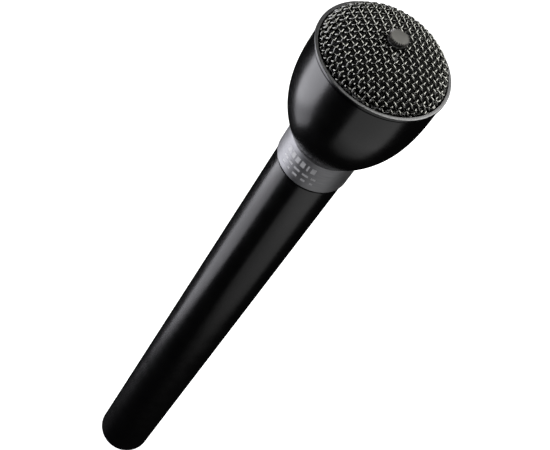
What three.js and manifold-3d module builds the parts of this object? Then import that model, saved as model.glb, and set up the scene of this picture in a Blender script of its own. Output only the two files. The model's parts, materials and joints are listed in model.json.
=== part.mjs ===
// Long-handled dynamic interview microphone: a slim tube handle with an XLR-type plug socket in
// its lower end, a plated band, and a flared head that holds a moving-coil element in rubber under
// a domed wire grille. Millimetres, +Z up along the handle, origin at the centre of the lower end.
import * as THREE from 'three';
import { mergeVertices } from 'three/addons/utils/BufferGeometryUtils.js';
import Module from 'manifold-3d';

const wasm = await Module();
wasm.setup();

// ---- driving dimensions -------------------------------------------------------------------
const GAP = 0.3;                  // space left between pieces that touch on the real object
const SHAFT_R = 9.525;            // a 19.05 mm (3/4 inch) handle
const HANDLE_TOP = 190;
const SOCKET_R = 8.1;             // takes the nose of a cable plug
const SOCKET_SHOULDER = 24.2;     // where the socket bore steps down to the tube bore
const TUBE_BORE_R = 7.5;
const LATCH_GROOVE = { bottom: 5, top: 7, r: 8.7 };

const BAND_H = 10.4;
const BAND_R = 9.9;
const HEAD_BASE = HANDLE_TOP + BAND_H + 2 * GAP;
const NECK_R = 10.15;             // the head where it leaves the band
const CROWN_R = 16.77;            // the head at its widest
const FLARE_H = 23.5;
const FLARE_POWER = 2.55;
const WALL = 1.75;
const HEAD_FLOOR = HEAD_BASE + 3.2;
const BARREL_BASE = 221;          // the head's inside is a plain cylinder above this
const NECK_SLEEVE = { bore: 5.2, bottom: 178, top: 207.2 };
const NECK_NUT = { r: 9.8, thick: 2.2 };
const LIP_TOP = 231.3;
const LIP_R = 16.95;
const LIP_INNER_R = 16.06;
const SEAT_Z = 227.6;             // ledge in the head that the grille stands on

const DOME_EDGE_R = 15.7;
const DOME_BASE = SEAT_Z + GAP;
const DOME_SPRING = 231.0;        // the straight skirt ends and the dome begins here
const DOME_TOP = 237.2;
const DOME_WALL = 0.7;
const SCREW_HOLE_R = 1.6;
const FOAM = { hole: 3.5, bottom: 226.8, inset: DOME_WALL + GAP + 1.0 };
const HOOP = { thick: 0.7, tall: 2.4 };
const DOME_POWER = 2.15;          // 2 is an ellipse, more is a fuller shoulder

const SCREW_HEAD = { r: 2.5, bottom: 238.1, top: 238.9, teeth: 20, tooth: 0.16 };
const SCREW_R = 1.3;
const SCREW_TIP = 229.5;
const POST = { r: 2.6, bore: 1.6, bottom: 225.8, floor: 228.4, top: 233.5 };
const WASHER = { inner: 1.55, outer: 2.3, bottom: 237.5, top: 237.8 };

const ELEMENT_R = 11.3;
const ELEMENT_BASE = 208.0;
const YOKE_BASE = 209.5;
const VENT_R = 1.2;               // the hole down the middle of the magnet system
const POLE_R = 5.2;
const YOKE = { r: 9.5, bore: 7.2, floor: 1.8, top: 217.0 };
const MAGNET_TOP = 216.6;
const TOP_PLATE = { bottom: 217.3, top: 219.1 };
const COIL = { inner: 5.6, outer: 6.1, bottom: 216.2, top: 220.6 };
const GAP_RING_R = 6.5;
const PLATE = { bottom: 224.3, top: 225.5, holes: 8, holeR: 1.1, pitchR: 7.2 };

const PIN_CIRCLE_R = 4.0;
const PIN_R = 1.19;
const PIN = { tip: 2.5, tail: 26.0 };
const INSERT = { r: 7.8, bottom: 14.0, top: 23.0 };
const LOCK_Z = 18.5;              // height of the radial screw that locks the plug insert

const ROUND = 40;                 // facets round the outer pieces
const SMALL_ROUND = 24;           // facets round the inner pieces

// ---- helpers ------------------------------------------------------------------------------
const root = new THREE.Group();

function finish(color, roughness, metalness) {
  return new THREE.MeshStandardMaterial({ color, roughness, metalness });
}

const blackEnamel = finish(0x121214, 0.45, 0.2);
const satinNickel = finish(0xa9a9ad, 0.35, 0.9);
const blackWire = finish(0x2a2a2c, 0.4, 0.7);
const darkFoam = finish(0x0d0d0e, 0.95, 0.0);
const steel = finish(0x8f9194, 0.4, 0.9);
const magnetAlloy = finish(0x3b3b3e, 0.5, 0.6);
const copper = finish(0xb06a3a, 0.4, 0.9);
const film = finish(0xc9c3a4, 0.3, 0.0);
const rubber = finish(0x1b1b1c, 0.8, 0.0);
const darkPlastic = finish(0x1d1d20, 0.6, 0.0);
const redSleeve = finish(0x8e1f1a, 0.5, 0.0);
const whiteSleeve = finish(0xd8d6cf, 0.5, 0.0);
const greyFelt = finish(0x6b6964, 0.95, 0.0);

function add(name, geometry, material, parent = root) {
  const mesh = new THREE.Mesh(geometry, material);
  mesh.name = name;
  parent.add(mesh);
  return mesh;
}

// A turned piece from [radius, height] points that close on themselves or start and end on Z.
function turned(points, facets = SMALL_ROUND) {
  const closed = points[0][0] > 0 ? [...points, points[0]] : points;
  const lathe = new THREE.LatheGeometry(closed.map(([r, z]) => new THREE.Vector2(r, z)), facets);
  lathe.rotateX(Math.PI / 2);
  return lathe;
}

// A ring of rectangular section.
function ring(inner, outer, bottom, top, facets = SMALL_ROUND) {
  return turned([[inner, bottom], [outer, bottom], [outer, top], [inner, top]], facets);
}

function rod(radius, bottom, top, facets = 16) {
  return turned([[0, bottom], [radius, bottom], [radius, top], [0, top]], facets);
}

function toSolid(geometry) {
  const bare = geometry.index ? geometry.toNonIndexed() : geometry.clone();
  for (const name of Object.keys(bare.attributes)) {
    if (name !== 'position') bare.deleteAttribute(name);
  }
  const merged = mergeVertices(bare, 1e-4);
  const index = Array.from(merged.index.array);
  const kept = [];
  for (let i = 0; i < index.length; i += 3) {
    const [a, b, c] = index.slice(i, i + 3);
    if (a !== b && b !== c && a !== c) kept.push(a, b, c);
  }
  const mesh = new wasm.Mesh({
    numProp: 3,
    vertProperties: new Float32Array(merged.attributes.position.array),
    triVerts: new Uint32Array(kept),
  });
  return new wasm.Manifold(mesh);
}

function toGeometry(solid) {
  const mesh = solid.getMesh();
  const geometry = new THREE.BufferGeometry();
  geometry.setAttribute('position', new THREE.BufferAttribute(mesh.vertProperties, 3));
  geometry.setIndex(new THREE.BufferAttribute(mesh.triVerts, 1));
  geometry.computeVertexNormals();
  return geometry;
}

// Take each cutter away from a body.
function cut(geometry, cutters) {
  let solid = toSolid(geometry);
  for (const cutter of cutters) solid = solid.subtract(toSolid(cutter));
  return toGeometry(solid);
}

// A round rod lying along +Y, for radial screws and their holes.
function radialRod(radius, from, to, height, facets = 16) {
  const piece = new THREE.CylinderGeometry(radius, radius, to - from, facets);
  piece.translate(0, (from + to) / 2, height);
  return piece;
}

// ---- profiles -----------------------------------------------------------------------------
// Outer radius of the flared head at a height.
function headRadius(z) {
  const t = Math.min(1, Math.max(0, (z - HEAD_BASE) / FLARE_H));
  return NECK_R + (CROWN_R - NECK_R) * (1 - (1 - t) ** FLARE_POWER);
}

// Height of the grille's outer surface at a radius, lowered by an inset.
function domeArc(inset, steps, innerR) {
  const points = [];
  const edge = DOME_EDGE_R - inset;
  const rise = DOME_TOP - DOME_SPRING - inset;
  const last = Math.asin(1 - (innerR / edge) ** 2);
  for (let i = 0; i <= steps; i += 1) {
    const r = edge * Math.sqrt(1 - Math.sin(last * (i / steps)));
    const height = rise * (1 - (r / edge) ** DOME_POWER) ** (1 / DOME_POWER);
    points.push([r, DOME_SPRING + height]);
  }
  return points;
}

// ---- handle and neck ----------------------------------------------------------------------
function handleTube() {
  const groove = LATCH_GROOVE;
  const tube = turned([
    [SOCKET_R + 0.3, 0],
    [SHAFT_R - 0.8, 0],
    [SHAFT_R - 0.23, 0.23],
    [SHAFT_R, 0.8],
    [SHAFT_R, HANDLE_TOP - 0.2],
    [SHAFT_R - 0.2, HANDLE_TOP],
    [TUBE_BORE_R, HANDLE_TOP],
    [TUBE_BORE_R, SOCKET_SHOULDER],
    [SOCKET_R, SOCKET_SHOULDER],
    [SOCKET_R, groove.top],
    [groove.r, groove.top],
    [groove.r, groove.bottom],
    [SOCKET_R, groove.bottom],
    [SOCKET_R, 0.3],
  ], ROUND);
  const lockHole = radialRod(1.4, SOCKET_R - 1, SHAFT_R + 1, LOCK_Z);
  add('handle_tube', cut(tube, [lockHole]), blackEnamel);
}

function nameBand() {
  const bottom = HANDLE_TOP + GAP;
  const top = bottom + BAND_H;
  const bevel = 0.35;
  add('name_band', turned([
    [TUBE_BORE_R, bottom],
    [BAND_R - bevel, bottom],
    [BAND_R, bottom + bevel],
    [BAND_R, top - bevel],
    [BAND_R - bevel, top],
    [TUBE_BORE_R, top],
  ], ROUND), satinNickel);
}

function neck() {
  const { bore, bottom, top } = NECK_SLEEVE;
  add('neck_sleeve', ring(bore, TUBE_BORE_R - GAP, bottom, top), steel);
  const nutBottom = HEAD_FLOOR + GAP;
  const nut = new THREE.CylinderGeometry(NECK_NUT.r, NECK_NUT.r, NECK_NUT.thick, 6);
  nut.rotateX(Math.PI / 2);
  nut.translate(0, 0, nutBottom + NECK_NUT.thick / 2);
  add('neck_nut', cut(nut, [rod(TUBE_BORE_R, nutBottom - 1, nutBottom + 4, SMALL_ROUND)]), steel);
}

// ---- head and grille ----------------------------------------------------------------------
function headShell() {
  const steps = 9;
  const flare = [];
  for (let i = 0; i <= steps; i += 1) {
    const z = HEAD_BASE + 0.4 + (FLARE_H - 0.4) * (i / steps);
    flare.push([headRadius(z), z]);
  }
  const inside = [];
  for (let i = 0; i <= 4; i += 1) {
    const z = BARREL_BASE + (HEAD_FLOOR - BARREL_BASE) * (i / 4);
    inside.push([headRadius(z) - WALL, z]);
  }
  const lineZ = LIP_TOP - 1.25;
  add('head_shell', turned([
    [TUBE_BORE_R, HEAD_BASE],
    [NECK_R - 0.35, HEAD_BASE],
    ...flare,
    [CROWN_R - 0.1, lineZ],
    [CROWN_R - 0.4, lineZ + 0.1],
    [CROWN_R - 0.4, lineZ + 0.3],
    [LIP_R, lineZ + 0.45],
    [LIP_R, LIP_TOP - 0.2],
    [LIP_R - 0.2, LIP_TOP],
    [LIP_INNER_R, LIP_TOP],
    [LIP_INNER_R, SEAT_Z],
    [CROWN_R - WALL, SEAT_Z],
    ...inside,
    [TUBE_BORE_R, HEAD_FLOOR],
  ], ROUND), blackEnamel);
}

function grille() {
  const outer = domeArc(0, 9, SCREW_HOLE_R);
  const inner = domeArc(DOME_WALL, 7, SCREW_HOLE_R).reverse();
  add('grille_mesh', turned([
    [DOME_EDGE_R - DOME_WALL, DOME_BASE],
    [DOME_EDGE_R, DOME_BASE],
    ...outer,
    ...inner,
  ], ROUND), blackWire);
  const hoopOuter = DOME_EDGE_R - DOME_WALL - GAP;
  const hoopInner = hoopOuter - HOOP.thick;
  add('grille_hoop', ring(hoopInner, hoopOuter, DOME_BASE, DOME_BASE + HOOP.tall, ROUND), steel);
  add('grille_foam', turned([
    [FOAM.hole, FOAM.bottom],
    [hoopInner - GAP, FOAM.bottom],
    [hoopInner - GAP, DOME_SPRING],
    ...domeArc(FOAM.inset, 6, FOAM.hole),
  ]), darkFoam);
}

function grilleScrew() {
  const { r, bottom, top, teeth, tooth } = SCREW_HEAD;
  const edge = new THREE.Shape();
  for (let i = 0; i < teeth * 2; i += 1) {
    const angle = Math.PI * i / teeth;
    const radius = i % 2 ? r - tooth : r;
    edge[i ? 'lineTo' : 'moveTo'](radius * Math.cos(angle), radius * Math.sin(angle));
  }
  edge.closePath();
  const head = new THREE.ExtrudeGeometry(edge, { depth: top - bottom - 0.2, bevelEnabled: false });
  head.translate(0, 0, bottom);
  const crown = rod(r - 0.4, bottom, top, SMALL_ROUND);
  const shank = rod(SCREW_R, SCREW_TIP, bottom + 0.4, 16);
  const solid = toSolid(head).add(toSolid(crown)).add(toSolid(shank));
  add('grille_screw', toGeometry(solid), satinNickel);
  add('screw_washer', ring(WASHER.inner, WASHER.outer, WASHER.bottom, WASHER.top), steel);
  add('grille_post', turned([
    [0, POST.bottom],
    [POST.r, POST.bottom],
    [POST.r, POST.top],
    [POST.bore, POST.top],
    [POST.bore, POST.floor],
    [0, POST.floor],
  ], 16), steel);
}

// ---- moving-coil element ------------------------------------------------------------------
function magnetSystem() {
  const floorTop = YOKE_BASE + YOKE.floor;
  add('yoke_cup', turned([
    [VENT_R, YOKE_BASE],
    [YOKE.r, YOKE_BASE],
    [YOKE.r, YOKE.top],
    [YOKE.bore, YOKE.top],
    [YOKE.bore, floorTop],
    [VENT_R, floorTop],
  ]), steel);
  add('magnet', ring(VENT_R, POLE_R, floorTop + GAP, MAGNET_TOP), magnetAlloy);
  add('pole_piece', ring(VENT_R, POLE_R, MAGNET_TOP + GAP, TOP_PLATE.top), steel);
  add('top_plate', ring(GAP_RING_R, YOKE.r, TOP_PLATE.bottom, TOP_PLATE.top), steel);
}

function diaphragmSet() {
  add('voice_coil', ring(COIL.inner, COIL.outer, COIL.bottom, COIL.top), copper);
  const thick = 0.25;
  const under = [];
  const seatZ = COIL.top + 0.35;
  for (let i = 0; i <= 4; i += 1) {
    const r = 5.4 * (i / 4);
    under.push([r, seatZ + 1.5 * (1 - (r / 5.4) ** 2)]);
  }
  for (let i = 0; i <= 4; i += 1) {
    const t = i / 4;
    const r = 6.3 + (8.7 - 6.3) * t;
    under.push([r, seatZ + 0.35 * t + 0.6 * Math.sin(Math.PI * t)]);
  }
  under.push([9.9, seatZ + 0.35]);
  const over = under.map(([r, z]) => [r, z + thick]).reverse();
  add('diaphragm', turned([...under, ...over]), film);
  add('diaphragm_ring', ring(8.8, 10.2, 220.5, 220.9), darkPlastic);
  add('clamp_ring', ring(8.8, 10.2, 221.95, 222.9), darkPlastic);
}

function elementHousing() {
  const floorTop = YOKE_BASE - GAP;
  add('element_housing', turned([
    [3.0, ELEMENT_BASE],
    [ELEMENT_R, ELEMENT_BASE],
    [ELEMENT_R, PLATE.bottom - GAP],
    [10.5, PLATE.bottom - GAP],
    [10.5, 220.2],
    [9.9, 220.2],
    [9.9, floorTop],
    [3.0, floorTop],
  ], ROUND), darkPlastic);
  const holes = [];
  for (let i = 0; i < PLATE.holes; i += 1) {
    const angle = 2 * Math.PI * i / PLATE.holes;
    const hole = rod(PLATE.holeR, PLATE.bottom - 1, PLATE.top + 1, 12);
    hole.translate(PLATE.pitchR * Math.cos(angle), PLATE.pitchR * Math.sin(angle), 0);
    holes.push(hole);
  }
  add('resonator_plate', cut(rod(ELEMENT_R, PLATE.bottom, PLATE.top, ROUND), holes), darkPlastic);
  add('front_felt', ring(2.9, 10.6, PLATE.top + GAP, PLATE.top + 1.0), greyFelt);
  add('front_isolator', turned([
    [ELEMENT_R + GAP, 221.0],
    [CROWN_R - WALL - GAP, 221.6],
    [CROWN_R - WALL - GAP, 223.6],
    [ELEMENT_R + GAP, 224.2],
  ]), rubber);
  add('rear_isolator', turned([
    [ELEMENT_R + GAP, 210.0],
    [12.7, 210.4],
    [13.0, 212.4],
    [ELEMENT_R + GAP, 213.0],
  ]), rubber);
}

// ---- plug socket and wiring ---------------------------------------------------------------
const PIN_PLACES = [
  { name: 'pin_1', x: -PIN_CIRCLE_R, y: 0 },
  { name: 'pin_2', x: PIN_CIRCLE_R, y: 0 },
  { name: 'pin_3', x: 0, y: -PIN_CIRCLE_R },
];

function plugSocket() {
  const holes = PIN_PLACES.map(({ x, y }) => {
    const hole = rod(PIN_R + GAP, INSERT.bottom - 1, INSERT.top + 1, 16);
    hole.translate(x, y, 0);
    return hole;
  });
  holes.push(radialRod(1.4, 3.6, INSERT.r + 1, LOCK_Z));
  const body = turned([
    [0, INSERT.bottom],
    [INSERT.r - 0.4, INSERT.bottom],
    [INSERT.r, INSERT.bottom + 0.4],
    [INSERT.r, INSERT.top],
    [0, INSERT.top],
  ], ROUND);
  add('connector_insert', cut(body, holes), darkPlastic);
  for (const { name, x, y } of PIN_PLACES) {
    const pin = add(name, turned([
      [0, PIN.tip],
      [PIN_R - 0.6, PIN.tip + 0.1],
      [PIN_R, PIN.tip + 0.9],
      [PIN_R, PIN.tail],
      [PIN_R - 0.5, PIN.tail],
      [PIN_R - 0.5, PIN.tail - 2],
      [0, PIN.tail - 2],
    ], 16), satinNickel);
    pin.position.set(x, y, 0);
  }
  add('insert_lock_screw', radialRod(1.1, 3.9, SHAFT_R - 0.5, LOCK_Z), steel);
  add('insert_gasket', ring(6.0, 7.8, INSERT.top + GAP, SOCKET_SHOULDER - GAP), rubber);
  const tab = new THREE.BoxGeometry(1.7, 2.4, 0.5);
  tab.translate(-6.35, 0, 25.2);
  add('ground_tab', tab, steel);
}

// A lead from a pin's solder cup up through the handle to the back of the element.
function lead(name, start, top, material) {
  const lift = PIN.tail + GAP;
  const route = new THREE.CatmullRomCurve3([
    new THREE.Vector3(start.x, start.y, lift),
    new THREE.Vector3(start.x, start.y, lift + 4),
    new THREE.Vector3(top.x * 1.6, top.y * 1.6, 60),
    new THREE.Vector3(top.x * 0.9, top.y * 0.9, 125),
    new THREE.Vector3(top.x, top.y, 200),
    new THREE.Vector3(top.x, top.y, 209.2),
  ], false, 'centripetal');
  const section = new THREE.Shape();
  section.absarc(0, 0, 0.6, 0, 2 * Math.PI, false);
  add(name, new THREE.ExtrudeGeometry(section, {
    steps: 20,
    curveSegments: 4,
    extrudePath: route,
  }), material);
}

handleTube();
nameBand();
neck();
headShell();
grille();
grilleScrew();
magnetSystem();
diaphragmSet();
elementHousing();
plugSocket();
lead('lead_hot', { x: PIN_CIRCLE_R, y: 0 }, { x: 1.6, y: 0 }, redSleeve);
lead('lead_cold', { x: 0, y: -PIN_CIRCLE_R }, { x: -1.4, y: -0.6 }, whiteSleeve);

export default root;
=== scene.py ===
# Looks of the long-handled interview microphone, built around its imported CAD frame.
import json
import math

import bpy
import numpy as np
from mathutils import Matrix, Vector


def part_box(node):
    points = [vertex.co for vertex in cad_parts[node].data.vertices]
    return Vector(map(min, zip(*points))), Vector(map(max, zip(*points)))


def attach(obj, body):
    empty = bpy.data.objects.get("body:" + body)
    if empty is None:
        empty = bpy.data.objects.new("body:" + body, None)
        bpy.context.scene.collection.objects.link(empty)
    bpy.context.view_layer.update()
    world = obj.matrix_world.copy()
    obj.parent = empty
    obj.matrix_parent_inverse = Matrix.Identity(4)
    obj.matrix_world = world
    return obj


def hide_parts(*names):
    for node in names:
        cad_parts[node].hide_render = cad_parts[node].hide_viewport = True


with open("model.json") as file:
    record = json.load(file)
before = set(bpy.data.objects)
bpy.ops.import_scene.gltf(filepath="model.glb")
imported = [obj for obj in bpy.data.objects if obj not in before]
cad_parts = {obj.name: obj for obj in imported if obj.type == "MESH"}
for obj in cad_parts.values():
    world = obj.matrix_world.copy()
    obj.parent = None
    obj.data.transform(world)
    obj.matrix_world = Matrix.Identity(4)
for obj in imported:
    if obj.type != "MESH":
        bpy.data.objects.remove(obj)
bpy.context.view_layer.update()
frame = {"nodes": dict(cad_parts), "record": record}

MM = 0.001
BODY = "microphone_body"
SMOOTH_ANGLE = math.radians(32)      # edges sharper than this stay crisp

# ---- places taken from the frame, in millimetres ------------------------------------------


def low(node, axis=2):
    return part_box(node)[0][axis] / MM


def high(node, axis=2):
    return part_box(node)[1][axis] / MM


def outer(node):
    """Outer radius of a round node."""
    return (high(node, 0) - low(node, 0)) / 2


HANDLE_R = outer("handle_tube")
HANDLE_TOP = high("handle_tube")
SOCKET_R = outer("connector_insert") + 0.3
SHOULDER = high("insert_gasket") + 0.3
BAND_R = outer("name_band")
BAND = (low("name_band"), high("name_band"))
BORE_R = outer("neck_sleeve") + 0.3
HEAD_BASE = low("head_shell")
LIP_TOP = high("head_shell")
LIP_R = outer("head_shell")
DOME_R = outer("grille_mesh")
LIP_INNER_R = DOME_R + 0.36
DOME_TOP = high("grille_mesh")
DOME_BASE = low("grille_mesh")
DOME_SPRING = DOME_BASE + 3.1        # the height where the dome's straight skirt ends
DOME_POWER = 2.15                    # how full the dome is: 2 is an ellipse

# ---- materials ----------------------------------------------------------------------------


class Look:
    """A Principled material with helpers that add procedural variation and bump."""

    def __init__(self, name, color, roughness, metallic=0.0, **sockets):
        self.material = bpy.data.materials.new(name)
        self.material.use_nodes = True
        self.nodes = self.material.node_tree.nodes
        self.links = self.material.node_tree.links
        self.shader = self.nodes["Principled BSDF"]
        self.color = (*color, 1.0)
        self.shader.inputs["Base Color"].default_value = self.color
        self.shader.inputs["Roughness"].default_value = roughness
        self.shader.inputs["Metallic"].default_value = metallic
        for key, value in sockets.items():
            self.shader.inputs[key.replace("_", " ")].default_value = value
        self.place = self.nodes.new("ShaderNodeTexCoord").outputs["Object"]
        self.normal = None

    def noise(self, scale, detail=4.0, stretch=(1, 1, 1), roughness=0.55):
        mapping = self.nodes.new("ShaderNodeMapping")
        mapping.inputs["Scale"].default_value = stretch
        self.links.new(self.place, mapping.inputs["Vector"])
        texture = self.nodes.new("ShaderNodeTexNoise")
        texture.inputs["Scale"].default_value = scale
        texture.inputs["Detail"].default_value = detail
        texture.inputs["Roughness"].default_value = roughness
        self.links.new(mapping.outputs["Vector"], texture.inputs["Vector"])
        return texture.outputs["Fac"]

    def ranged(self, value, start, end):
        node = self.nodes.new("ShaderNodeMapRange")
        node.inputs["From Min"].default_value = 0.3
        node.inputs["From Max"].default_value = 0.7
        node.inputs["To Min"].default_value = start
        node.inputs["To Max"].default_value = end
        self.links.new(value, node.inputs["Value"])
        return node.outputs["Result"]

    def vary_roughness(self, start, end, scale, **kind):
        value = self.ranged(self.noise(scale, **kind), start, end)
        self.links.new(value, self.shader.inputs["Roughness"])
        return self

    def vary_color(self, other, scale, **kind):
        mix = self.nodes.new("ShaderNodeMix")
        mix.data_type = "RGBA"
        mix.inputs["A"].default_value = self.color
        mix.inputs["B"].default_value = (*other, 1.0)
        factor = self.ranged(self.noise(scale, **kind), 0.0, 1.0)
        self.links.new(factor, mix.inputs["Factor"])
        self.links.new(mix.outputs["Result"], self.shader.inputs["Base Color"])
        return self

    def bump(self, depth, scale, **kind):
        node = self.nodes.new("ShaderNodeBump")
        node.inputs["Distance"].default_value = depth
        node.inputs["Strength"].default_value = 1.0
        self.links.new(self.noise(scale, **kind), node.inputs["Height"])
        if self.normal:
            self.links.new(self.normal, node.inputs["Normal"])
        self.normal = node.outputs["Normal"]
        self.links.new(self.normal, self.shader.inputs["Normal"])
        return self


def enamel():
    """Baked satin enamel: a slight orange peel and faint handling marks."""
    look = Look("black_enamel", (0.0008, 0.0008, 0.001), 0.22, Specular_IOR_Level=0.5)
    look.vary_color((0.0016, 0.0016, 0.0018), 90.0)
    look.vary_roughness(0.20, 0.25, 220.0, detail=6.0)
    return look.bump(0.000012, 1800.0, detail=2.0)


def turned_metal(name, color, start, end):
    """Turned metal: fine rings that run round the axis."""
    look = Look(name, color, start, 1.0)
    look.vary_roughness(start, end, 260.0, detail=5.0, stretch=(1, 1, 6))
    look.vary_color(tuple(c * 0.86 for c in color), 500.0, stretch=(0.3, 0.3, 4))
    return look.bump(0.000004, 1000.0, detail=3.0, stretch=(0.05, 0.05, 1.6))


def wire_metal():
    """Blackened wire, glossy enough for a bright line along each crossing."""
    look = Look("black_wire", (0.25, 0.25, 0.235), 0.15, 1.0)
    look.vary_color((0.20, 0.20, 0.19), 500.0)
    look.vary_roughness(0.13, 0.17, 500.0, detail=4.0)
    return look.bump(0.000001, 1500.0, detail=2.0)


def foam():
    """Dark open-cell foam."""
    look = Look("dark_foam", (0.008, 0.008, 0.009), 0.97)
    look.vary_color((0.018, 0.018, 0.019), 1400.0, detail=3.0)
    return look.bump(0.0002, 1300.0, detail=3.0, roughness=0.7)


def plain(name, color, roughness, metallic=0.0, grain=900.0, depth=0.00001):
    """A moulded or rolled finish with a fine grain and uneven gloss."""
    look = Look(name, color, roughness, metallic)
    look.vary_color(tuple(c * 0.8 for c in color), grain * 0.4)
    look.vary_roughness(roughness * 0.85, min(1.0, roughness * 1.15), grain * 0.7)
    return look.bump(depth, grain, detail=3.0)


LOOKS = {
    "black_enamel": enamel(),
    "satin_nickel": turned_metal("satin_nickel", (0.28, 0.28, 0.29), 0.44, 0.54),
    "bare_lip": turned_metal("bare_lip", (0.17, 0.17, 0.175), 0.34, 0.44),
    "screw_grey": turned_metal("screw_grey", (0.25, 0.245, 0.235), 0.30, 0.40),
    "black_wire": wire_metal(),
    "dark_foam": foam(),
    "steel": plain("steel", (0.48, 0.48, 0.49), 0.34, 1.0, 1100.0, 0.000004),
    "magnet_grey": plain("magnet_grey", (0.08, 0.08, 0.085), 0.5, 0.6, 1500.0),
    "copper": plain("copper", (0.60, 0.25, 0.11), 0.35, 0.9, 3000.0),
    "film": plain("film", (0.55, 0.50, 0.36), 0.28, 0.0, 700.0),
    "rubber": plain("rubber", (0.018, 0.018, 0.018), 0.75, 0.0, 1300.0, 0.00003),
    "dark_plastic": plain("dark_plastic", (0.020, 0.020, 0.023), 0.5, 0.0, 1200.0),
    "red_sleeve": plain("red_sleeve", (0.33, 0.02, 0.015), 0.42),
    "white_sleeve": plain("white_sleeve", (0.60, 0.58, 0.54), 0.42),
    "grey_felt": plain("grey_felt", (0.20, 0.19, 0.17), 0.95, 0.0, 1500.0, 0.00015),
    "printed_white": plain("printed_white", (0.52, 0.52, 0.53), 0.45, 0.0, 2000.0),
}


def dress_cad_nodes():
    """Gives the CAD nodes their materials, and smooths their facets by modifiers."""
    for part in frame["record"]["subparts"]:
        node = frame["nodes"][part["node"]]
        node.data.materials.clear()
        node.data.materials.append(LOOKS[part["material_slot"]].material)
        normals = node.data.attributes.get("custom_normal")
        if normals:
            node.data.attributes.remove(normals)
        node.data.shade_smooth()
        node.modifiers.new("weld", "WELD").merge_threshold = 0.000001
        node.modifiers.new("edges", "EDGE_SPLIT").split_angle = SMOOTH_ANGLE


# ---- mesh helpers -------------------------------------------------------------------------

ON_AXIS = 1e-6

def make(name, verts, faces, looks, body, replaces=(), marks=None, sharp=SMOOTH_ANGLE):
    """A piece from vertices in millimetres. marks gives each face's place in looks."""
    mesh = bpy.data.meshes.new(name)
    mesh.from_pydata([tuple(float(c) * MM for c in v) for v in verts], [], faces)
    for look in looks:
        mesh.materials.append(LOOKS[look].material)
    if marks is not None:
        mesh.polygons.foreach_set("material_index", marks)
    mesh.validate()
    mesh.shade_smooth()
    mesh.set_sharp_from_angle(angle=sharp)
    piece = bpy.data.objects.new(name, mesh)
    bpy.context.scene.collection.objects.link(piece)
    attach(piece, body)
    if replaces:
        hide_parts(*replaces)
    return piece


def arc(center, radius, start, end, steps=5):
    """Points of a round corner in the profile plane, angles in degrees."""
    points = []
    for i in range(steps + 1):
        angle = math.radians(start + (end - start) * i / steps)
        points.append((center[0] + radius * math.cos(angle), center[1] + radius * math.sin(angle)))
    return points


def lathe(name, profile, look, body, replaces=(), segments=160, looks=None,
          mark=None, wobble=None, sharp=SMOOTH_ANGLE):
    """Turns (radius, height) points about Z. A point with no radius closes on the axis.

    wobble changes the radius of each point of a ring, and mark picks a look for each row."""
    verts = []
    rows = []
    for r, z in profile:
        if r < ON_AXIS:
            rows.append([len(verts)] * segments)
            verts.append((0.0, 0.0, z))
            continue
        rows.append(list(range(len(verts), len(verts) + segments)))
        for k in range(segments):
            angle = 2 * math.pi * k / segments
            radius = wobble(r, z, k) if wobble else r
            verts.append((radius * math.cos(angle), radius * math.sin(angle), z))
    if profile[0][0] > ON_AXIS:
        rows.append(rows[0])
    faces = []
    marks = []
    for i in range(len(rows) - 1):
        which = mark(profile[i], profile[(i + 1) % len(profile)]) if mark else 0
        for k in range(segments):
            n = (k + 1) % segments
            corners = [rows[i][k], rows[i][n], rows[i + 1][n], rows[i + 1][k]]
            corners = list(dict.fromkeys(corners))
            if len(corners) > 2:
                faces.append(corners)
                marks.append(which)
    return make(name, verts, faces, looks or [look], body, replaces, marks, sharp)


def drill(piece, cutter):
    """Cuts a hole with a plain mesh that is thrown away afterwards."""
    modifier = piece.modifiers.new("hole", "BOOLEAN")
    modifier.operation = "DIFFERENCE"
    modifier.solver = "EXACT"
    modifier.object = cutter
    graph = bpy.context.evaluated_depsgraph_get()
    mesh = bpy.data.meshes.new_from_object(piece.evaluated_get(graph))
    piece.modifiers.clear()
    piece.data = mesh
    mesh.shade_smooth()
    mesh.set_sharp_from_angle(angle=SMOOTH_ANGLE)
    bpy.data.objects.remove(cutter)


def cutter_rod(radius, start, end, height, sides=32):
    """A rod along +Y, used only to cut."""
    verts = []
    for y in (start, end):
        for k in range(sides):
            angle = 2 * math.pi * k / sides
            verts.append((radius * math.cos(angle) * MM, y * MM,
                          (height + radius * math.sin(angle)) * MM))
    faces = [[k, (k + 1) % sides, sides + (k + 1) % sides, sides + k] for k in range(sides)]
    faces.append(list(range(sides))[::-1])
    faces.append(list(range(sides, 2 * sides)))
    mesh = bpy.data.meshes.new("cutter")
    mesh.from_pydata(verts, [], faces)
    mesh.update()
    cutter = bpy.data.objects.new("cutter", mesh)
    bpy.context.scene.collection.objects.link(cutter)
    return cutter


# ---- handle, band and head ----------------------------------------------------------------


def handle():
    """The long tube, with the plug socket and its latch groove at the bottom."""
    edge = 0.8
    chamfer = 0.25
    mouth = 0.3
    groove = (5.0, 7.0)
    groove_r = SOCKET_R + 0.6
    screw_hole_r = 1.4
    profile = [
        (SOCKET_R + mouth, 0.0),
        *arc((HANDLE_R - edge, edge), edge, -90, 0, 8),
        (HANDLE_R, HANDLE_TOP - chamfer),
        (HANDLE_R - chamfer, HANDLE_TOP),
        (BORE_R, HANDLE_TOP),
        (BORE_R, SHOULDER),
        (SOCKET_R, SHOULDER),
        (SOCKET_R, groove[1]),
        (groove_r, groove[1]),
        (groove_r, groove[0]),
        (SOCKET_R, groove[0]),
        (SOCKET_R, mouth),
    ]
    tube = lathe("handle", profile, "black_enamel", BODY, replaces=["handle_tube"])
    height = (low("insert_lock_screw") + high("insert_lock_screw")) / 2
    drill(tube, cutter_rod(screw_hole_r, SOCKET_R - 1, HANDLE_R + 1, height))


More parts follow.
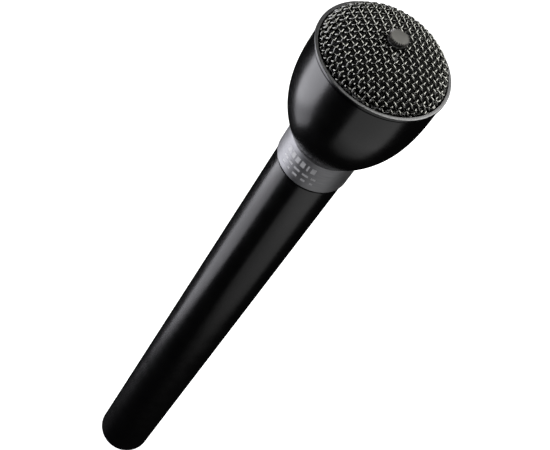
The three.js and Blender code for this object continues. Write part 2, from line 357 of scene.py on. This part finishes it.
def band():
    """The plated band between handle and head, with softened bevels."""
    bevel = 0.38
    bottom, top = BAND
    profile = [
        (BORE_R, bottom),
        (BAND_R - bevel, bottom),
        (BAND_R - 0.06, bottom + bevel - 0.05),
        (BAND_R, bottom + bevel + 0.1),
        (BAND_R, top - bevel - 0.1),
        (BAND_R - 0.06, top - bevel + 0.05),
        (BAND_R - bevel, top),
        (BORE_R, top),
    ]
    lathe("plated_band", profile, "satin_nickel", BODY, replaces=["name_band"], segments=200,
          sharp=math.radians(20))


def band_patch(verts, faces, center, width, bottom, top):
    """A thin printed block on the band: center and width in degrees about the axis."""
    steps = max(2, int(width / 2))
    skin = (BAND_R + 0.004, BAND_R + 0.02)
    start = len(verts)
    for i in range(steps + 1):
        angle = math.radians(center - width / 2 + width * i / steps)
        for r, z in ((skin[0], bottom), (skin[1], bottom), (skin[1], top), (skin[0], top)):
            verts.append((r * math.cos(angle), r * math.sin(angle), z))
    for i in range(steps):
        a = start + 4 * i
        for k in range(4):
            n = (k + 1) % 4
            faces.append([a + k, a + 4 + k, a + 4 + n, a + n])
    faces.append([start + k for k in range(4)])
    faces.append([start + 4 * steps + k for k in (3, 2, 1, 0)])


def band_print():
    """Generic printing: a row of blocks and two thinner broken lines under it."""
    verts = []
    faces = []
    middle = (BAND[0] + BAND[1]) / 2
    blocks = ((-128, 7), (-118, 7), (-108, 7), (-98, 7), (-89, 3), (-80, 7))
    for center, width in blocks:
        band_patch(verts, faces, center, width, middle + 1.2, middle + 3.1)
    lines = ((-127, 9), (-115, 7), (-102, 11), (-87, 10), (-74, 7))
    for center, width in lines:
        band_patch(verts, faces, center, width, middle - 0.9, middle - 0.2)
        band_patch(verts, faces, center + 1, width - 3, middle - 2.8, middle - 2.1)
    make("band_print", verts, faces, ["printed_white"], BODY)


NECK_R = 10.15           # the head's outer radius where it meets the band
CROWN_R = 16.77          # and where the flare has run out
FLARE_H = 23.5
FLARE_POWER = 2.55       # how fast the flare opens above the band
HEAD_WALL = 1.75


def head_radius(z):
    """The head's outer radius at a height."""
    t = min(1.0, max(0.0, (z - HEAD_BASE) / FLARE_H))
    return NECK_R + (CROWN_R - NECK_R) * (1 - (1 - t) ** FLARE_POWER)


def head():
    """The flared casing, with a groove under its lip and a bare ring on top of it."""
    line = LIP_TOP - 1.25
    groove_r = CROWN_R - 0.34
    edge = 0.22
    seat = DOME_BASE - 0.3
    floor = HEAD_BASE + 3.2
    flare = [HEAD_BASE + 0.4 + (FLARE_H - 0.4) * i / 28 for i in range(29)]
    cup = 221.0
    inside = [cup + (floor - cup) * i / 10 for i in range(11)]
    profile = [
        (BORE_R, HEAD_BASE),
        (NECK_R - 0.35, HEAD_BASE),
        (NECK_R - 0.1, HEAD_BASE + 0.1),
        *((head_radius(z), z) for z in flare),
        (CROWN_R - 0.1, line),
        (groove_r, line + 0.1),
        (groove_r, line + 0.32),
        (LIP_R - 0.1, line + 0.45),
        (LIP_R, line + 0.6),
        *arc((LIP_R - edge, LIP_TOP - edge), edge, 0, 90, 5),
        (LIP_INNER_R + 0.1, LIP_TOP),
        (LIP_INNER_R, LIP_TOP - 0.1),
        (LIP_INNER_R, seat),
        (CROWN_R - HEAD_WALL, seat),
        *((head_radius(z) - HEAD_WALL, z) for z in inside),
        (BORE_R, floor),
    ]

    def bare(a, b):
        on_top = min(a[1], b[1]) > LIP_TOP - 0.17 and min(a[0], b[0]) >= LIP_INNER_R - 0.001
        return 1 if on_top else 0

    lathe("head_casing", profile, "black_enamel", BODY, replaces=["head_shell"], segments=220,
          looks=["black_enamel", "bare_lip"], mark=bare)


# ---- grille -------------------------------------------------------------------------------

WIRE_R = 0.27
WIRE_PITCH = 1.52
WIRE_WAVE = 1.2          # how long each wire stays high or low between its crossings
WEAVE_TURN = -6.0        # degrees that the weave is turned about the handle
WIRE_DEPTH = 0.36        # the middle of the cloth, below the dome's outer surface
EYELET_R = 1.75          # the wires stop at the hole for the screw
SKIRT = 2.6              # how far the cloth runs straight down inside the lip


def dome_height(r, inset):
    """The height of a dome this far inside the grille's outer surface."""
    edge = DOME_R - inset
    rise = DOME_TOP - DOME_SPRING - inset
    share = min(1.0, r / edge)
    return DOME_SPRING + rise * (1 - share ** DOME_POWER) ** (1 / DOME_POWER)


def cloth_profile():
    """The cloth's middle line from the centre out and down, against the length along it."""
    edge = DOME_R - WIRE_DEPTH
    rise = DOME_TOP - DOME_SPRING - WIRE_DEPTH
    turn = np.linspace(math.pi / 2, 0.0, 1500)
    r = edge * np.cos(turn) ** (2 / DOME_POWER)
    z = DOME_SPRING + rise * np.sin(turn) ** (2 / DOME_POWER)
    r[0] = 0.0
    r = np.append(r, edge)
    z = np.append(z, DOME_SPRING - SKIRT)
    length = np.concatenate([[0.0], np.cumsum(np.hypot(np.diff(r), np.diff(z)))])
    even = np.linspace(0.0, length[-1], 900)
    r = np.interp(even, length, r)
    z = np.interp(even, length, z)
    tilt = np.arctan2(-np.gradient(z), np.gradient(r))
    return even, r, z, tilt


def wire(verts, faces, profile, offset, start, end, phase, flip, sides=8):
    """One round wire of the flat cloth, laid on the dome, over and under its neighbours."""
    lengths, radii, heights, tilts = profile
    count = max(4, int((end - start) * 10 / WIRE_PITCH))
    along = np.linspace(start, end, count + 1)
    across = np.full_like(along, offset)
    x, y = (across, along) if flip else (along, across)
    reach = np.hypot(x, y)
    r = np.interp(reach, lengths, radii)
    z = np.interp(reach, lengths, heights)
    tilt = np.interp(reach, lengths, tilts)
    cos, sin = x / reach, y / reach
    normal = np.stack([np.sin(tilt) * cos, np.sin(tilt) * sin, np.cos(tilt)], 1)
    wave = np.cos(math.pi * along / WIRE_PITCH + phase)
    lift = WIRE_R * 0.98 * np.tanh(WIRE_WAVE * wave) / math.tanh(WIRE_WAVE)
    line = np.stack([r * cos, r * sin, z], 1) + normal * lift[:, None]
    ahead = np.gradient(line, axis=0)
    ahead /= np.linalg.norm(ahead, axis=1)[:, None]
    side = np.cross(ahead, normal)
    side /= np.linalg.norm(side, axis=1)[:, None]
    top = np.cross(side, ahead)
    first = len(verts)
    for point, s, t in zip(line, side, top):
        for k in range(sides):
            angle = 2 * math.pi * k / sides
            verts.append(point + WIRE_R * (math.cos(angle) * s + math.sin(angle) * t))
    for i in range(count):
        a = first + i * sides
        for k in range(sides):
            n = (k + 1) % sides
            faces.append([a + k, a + n, a + sides + n, a + sides + k])
    faces.append([first + k for k in range(sides)][::-1])
    faces.append([len(verts) - sides + k for k in range(sides)])


def wire_cloth():
    """Plain-woven wire pressed into a dome: every wire goes over one and under the next."""
    verts = []
    faces = []
    profile = cloth_profile()
    limit = profile[0][-1]
    rows = int(limit / WIRE_PITCH)
    for flip in (False, True):
        for row in range(-rows, rows + 1):
            offset = row * WIRE_PITCH
            reach = math.sqrt(limit ** 2 - offset ** 2)
            phase = math.pi * (row + (1 if flip else 0))
            spans = [(-reach, reach)]
            if abs(offset) < EYELET_R:
                gap = math.sqrt(EYELET_R ** 2 - offset ** 2)
                spans = [(-reach, -gap), (gap, reach)]
            for start, end in spans:
                wire(verts, faces, profile, offset, start, end, phase, flip)
    turn = Matrix.Rotation(math.radians(WEAVE_TURN), 3, "Z")
    verts = [turn @ Vector(v) for v in verts]
    make("wire_cloth", verts, faces, ["black_wire"], "grille",
         ["grille_mesh"], sharp=math.radians(50))


def foam_liner():
    """The foam under the wire, with an uneven skin and a hole for the screw's post."""
    inset = DOME_TOP - high("grille_foam")
    bottom = low("grille_foam")
    wide = outer("grille_foam")
    hole = 3.5
    edge = DOME_R - inset
    radii = [edge * math.sin(math.radians(90 * i / 24)) for i in range(24, 0, -1)]
    top = [(r, dome_height(r, inset)) for r in radii if hole < r <= wide]
    rng = np.random.default_rng(7)
    ripple = rng.uniform(-0.06, 0.06, (200, 160))

    def pores(r, z, k):
        return r + ripple[int(z * 7) % 200][k]

    profile = [(hole, bottom), (wide - 0.1, bottom), (wide - 0.1, DOME_SPRING), *top,
               (hole, dome_height(hole, inset))]
    lathe("foam_liner", profile, "dark_foam", "grille", replaces=["grille_foam"], wobble=pores)


def thumb_screw():
    """The knurled screw that holds the grille on its post."""
    r = outer("grille_screw")
    top = high("grille_screw")
    tip = low("grille_screw")
    under = high("screw_washer") + 0.3
    teeth = 26
    per_tooth = 8
    tooth_depth = 0.5
    shank = 1.3

    def knurl(radius, z, k):
        if radius < r - 0.35:
            return radius
        wave = abs((k % per_tooth) / per_tooth * 2 - 1)
        return radius - tooth_depth * wave

    profile = [
        (0.0, tip),
        (shank - 0.3, tip),
        (shank, tip + 0.3),
        (shank, under),
        (r - 0.3, under),
        (r - 0.02, under + 0.12),
        (r, under + 0.2),
        (r, top - 0.12),
        (r - 0.12, top),
        (r - 0.66, top),
        (0.0, top),
    ]
    lathe("knurled_screw", profile, "screw_grey", "thumb_screw",
          ["grille_screw"], segments=teeth * per_tooth, wobble=knurl, sharp=math.radians(28))


# ---- plug socket --------------------------------------------------------------------------


def pins():
    """The three contacts: round noses, with a solder cup in each tail."""
    nose = 0.7
    cup_wall = 0.5
    cup_depth = 2
    for name in ("pin_1", "pin_2", "pin_3"):
        lo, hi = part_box(name)
        r = (hi.x - lo.x) / 2 / MM
        tip = lo.z / MM
        tail = hi.z / MM
        x = (hi.x + lo.x) / 2 / MM
        y = (hi.y + lo.y) / 2 / MM
        profile = [
            (0.0, tip),
            *arc((r - nose, tip + nose), nose, -90, 0, 6),
            (r, tail),
            (r - cup_wall, tail),
            (r - cup_wall, tail - cup_depth),
            (0.0, tail - cup_depth),
        ]
        piece = lathe(name + "_contact", profile, "satin_nickel", BODY, replaces=[name],
                      segments=48)
        piece.data.transform(Matrix.Translation((x * MM, y * MM, 0)))


dress_cad_nodes()
handle()
band()
band_print()
head()
wire_cloth()
foam_liner()
thumb_screw()
pins()

# ---- floor, light and camera --------------------------------------------------------------


def floor():
    """A plain white floor that casts nothing onto the object."""
    size = 6.0
    mesh = bpy.data.meshes.new("floor")
    mesh.from_pydata([(-size, -size, 0), (size, -size, 0), (size, size, 0), (-size, size, 0)],
                     [], [[0, 1, 2, 3]])
    plane = bpy.data.objects.new("floor", mesh)
    plane.location.z = -0.5 * MM
    bpy.context.scene.collection.objects.link(plane)
    look = Look("floor_paper", (0.6, 0.6, 0.6), 0.9, Specular_IOR_Level=0.0)
    look.shader.inputs["Emission Color"].default_value = (1, 1, 1, 1)
    look.shader.inputs["Emission Strength"].default_value = 1.0
    mesh.materials.append(look.material)
    plane.visible_glossy = False
    plane.visible_diffuse = False
    plane.visible_shadow = False


def panel(name, place, aim, size, power, tint=(1, 1, 1)):
    """A soft rectangular light. Its long side is upright."""
    light = bpy.data.lights.new(name, "AREA")
    light.color = tint
    light.shape = "RECTANGLE"
    light.size, light.size_y = size
    light.energy = power
    holder = bpy.data.objects.new(name, light)
    holder.location = place
    direction = Vector(aim) - Vector(place)
    holder.rotation_euler = direction.to_track_quat("-Z", "Y").to_euler()
    holder.visible_camera = False
    bpy.context.scene.collection.objects.link(holder)


def lights():
    """Soft panels round the object, and a world that is white only to the camera."""
    cool = (0.94, 0.94, 1.0)
    warm = (1.0, 1.0, 0.96)
    panel("left_strip", (-0.25, -0.09, 0.09), (0, -0.09, 0.09), (0.27, 0.38), 1.30, cool)
    panel("left_foot", (-0.25, -0.09, -0.22), (0, -0.09, -0.22), (0.27, 0.24), 0.30, cool)
    panel("right_wash", (0.175, -0.16, 0.08), (0, 0, 0.08), (0.36, 0.40), 0.28)
    panel("right_foot", (0.175, -0.16, -0.20), (0, 0, -0.20), (0.36, 0.16), 0.05)
    panel("overhead", (0.26, 0.20, 0.60), (0, 0, 0.235), (0.50, 0.50), 3.6, warm)
    panel("left_top", (-0.42, 0.02, 0.46), (0, 0, 0.22), (0.22, 0.30), 0.9)
    panel("back_fill", (-0.07, 0.36, 0.14), (0, 0, 0.14), (0.12, 0.50), 0.22)
    world = bpy.data.worlds.new("studio")
    world.use_nodes = True
    nodes = world.node_tree.nodes
    links = world.node_tree.links
    backdrop = nodes["Background"]
    backdrop.inputs["Color"].default_value = (1, 1, 1, 1)
    backdrop.inputs["Strength"].default_value = 1.0
    fill = nodes.new("ShaderNodeBackground")
    fill.inputs["Color"].default_value = (1, 1, 1, 1)
    fill.inputs["Strength"].default_value = 0.003
    path = nodes.new("ShaderNodeLightPath")
    mix = nodes.new("ShaderNodeMixShader")
    links.new(path.outputs["Is Camera Ray"], mix.inputs["Fac"])
    links.new(fill.outputs["Background"], mix.inputs[1])
    links.new(backdrop.outputs["Background"], mix.inputs[2])
    links.new(mix.outputs["Shader"], nodes["World Output"].inputs["Surface"])
    bpy.context.scene.world = world


def camera():
    """A camera above the front of the head, rolled so that the handle runs down to the left."""
    place = Vector((0.0, -0.18104, 0.38718))
    target = Vector((0.00166, 0.0, 0.15995))
    roll = 0.62
    ahead = (target - place).normalized()
    right = ahead.cross(Vector((0, 0, 1))).normalized()
    up = right.cross(ahead)
    x_axis = math.cos(roll) * right + math.sin(roll) * up
    y_axis = math.cos(roll) * up - math.sin(roll) * right
    data = bpy.data.cameras.new("camera")
    data.sensor_width = 36.0
    data.lens = 68.77
    data.clip_start = 0.01
    holder = bpy.data.objects.new("camera", data)
    basis = Matrix((x_axis, y_axis, -ahead)).transposed().to_4x4()
    holder.matrix_world = Matrix.Translation(place) @ basis
    bpy.context.scene.collection.objects.link(holder)
    bpy.context.scene.camera = holder


floor()
lights()
camera()
bpy.context.scene.view_settings.view_transform = "Standard"
